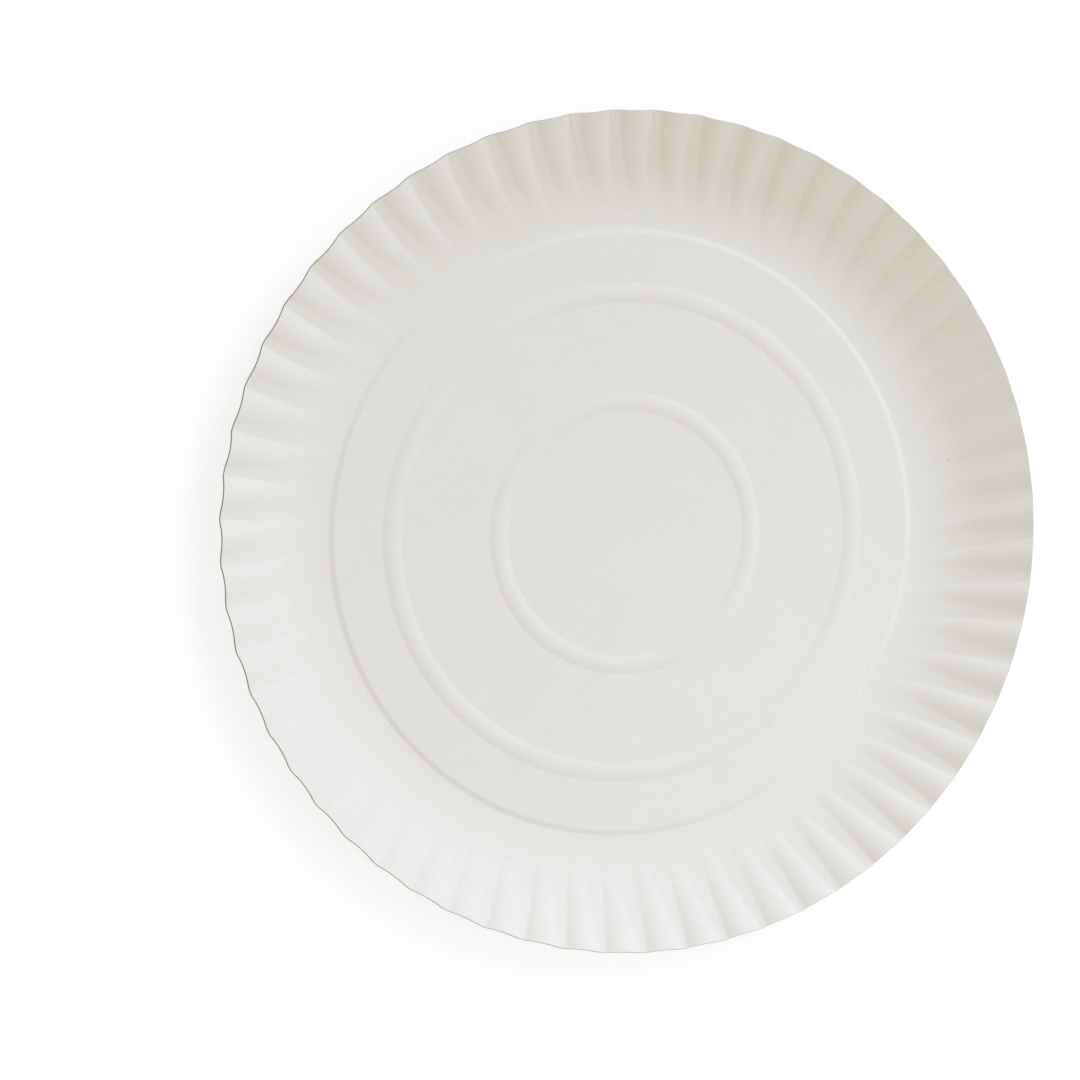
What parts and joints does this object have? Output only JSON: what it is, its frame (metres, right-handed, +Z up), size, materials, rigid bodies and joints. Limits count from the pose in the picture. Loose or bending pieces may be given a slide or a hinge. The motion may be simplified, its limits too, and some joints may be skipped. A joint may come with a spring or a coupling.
{
  "type": "paper plate",
  "caption": "Round disposable plate pressed from one sheet of white paper board, with ringed beads in its floor and a fluted sloping wall that ends in a wavy cut edge.",
  "frame": {"origin": "on the plate's axis, in the plane of the foot ring that it stands on", "axes": "+Z up along the plate's axis, out of its eating side; +X through the middle of one flute"},
  "size_m": [0.2285, 0.2286, 0.0118],
  "materials": {
    "paper": "matte"
  },
  "bodies": {
    "root": {"plate": "paper"}
  },
  "joints": []
}
